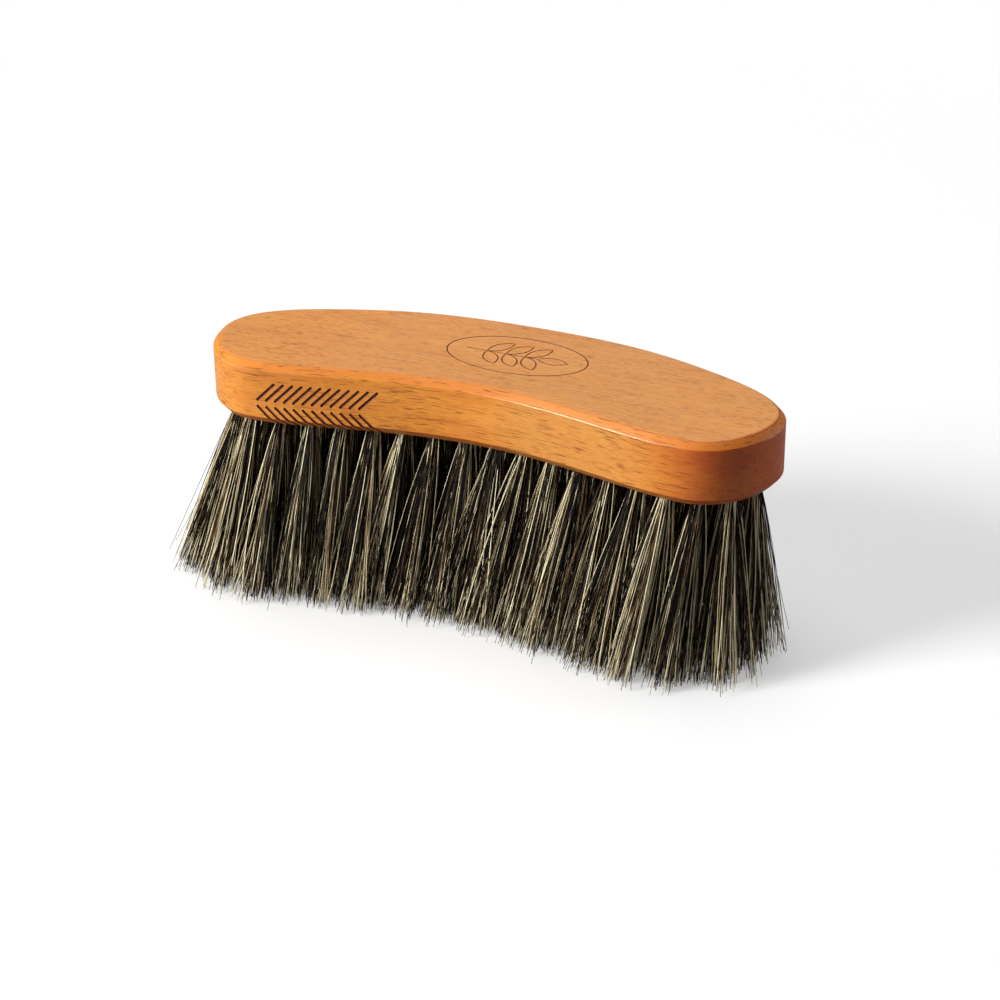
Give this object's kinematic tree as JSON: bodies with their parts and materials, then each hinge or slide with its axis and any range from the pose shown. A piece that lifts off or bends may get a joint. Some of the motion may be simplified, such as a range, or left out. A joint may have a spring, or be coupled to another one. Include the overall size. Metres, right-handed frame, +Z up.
{
  "type": "block duster brush",
  "caption": "Palm-held duster brush: a kidney-shaped hardwood block with splayed tufts of mixed black and pale horsehair.",
  "frame": {"origin": "middle of the whole brush's footprint, on the surface that the bristle tips stand on", "axes": "+Z up from the bristle tips to the top of the block; X along the block, with the engraved chevrons and the leaning tips towards -X; +Y towards the convex back edge and -Y towards the concave front edge"},
  "size_m": [0.2214, 0.0822, 0.087],
  "materials": {
    "wood": "orange-brown stained hardwood under a thin satin lacquer, with burnt brown engraving",
    "hair": "mixed natural horsehair, mostly black with cream and khaki strands, matte with a slight sheen",
    "wire": "plain drawn wire"
  },
  "bodies": {
    "root": {"block": "wood", "outer_tuft_01": "hair", "outer_tuft_02": "hair", "outer_tuft_03": "hair", "outer_tuft_04": "hair", "outer_tuft_05": "hair", "outer_tuft_06": "hair", "outer_tuft_07": "hair", "outer_tuft_08": "hair", "outer_tuft_09": "hair", "outer_tuft_10": "hair", "outer_tuft_11": "hair", "outer_tuft_12": "hair", "outer_tuft_13": "hair", "outer_tuft_14": "hair", "outer_tuft_15": "hair", "outer_tuft_16": "hair", "outer_tuft_17": "hair", "outer_tuft_18": "hair", "outer_tuft_19": "hair", "outer_tuft_20": "hair", "outer_tuft_21": "hair", "outer_tuft_22": "hair", "outer_tuft_23": "hair", "outer_tuft_24": "hair", "outer_tuft_25": "hair", "outer_tuft_26": "hair", "outer_tuft_27": "hair", "outer_tuft_28": "hair", "outer_tuft_29": "hair", "outer_tuft_30": "hair", "outer_tuft_31": "hair", "outer_tuft_32": "hair", "outer_tuft_33": "hair", "outer_tuft_34": "hair", "outer_tuft_35": "hair", "outer_tuft_36": "hair", "outer_tuft_37": "hair", "outer_tuft_38": "hair", "inner_front_tufts": "hair", "inner_back_tufts": "hair", "centre_tufts": "hair", "staple_01": "wire", "staple_02": "wire", "staple_03": "wire", "staple_04": "wire", "staple_05": "wire", "staple_06": "wire", "staple_07": "wire", "staple_08": "wire", "staple_09": "wire", "staple_10": "wire", "staple_11": "wire", "staple_12": "wire", "staple_13": "wire", "staple_14": "wire", "staple_15": "wire", "staple_16": "wire", "staple_17": "wire", "staple_18": "wire"}
  },
  "joints": []
}
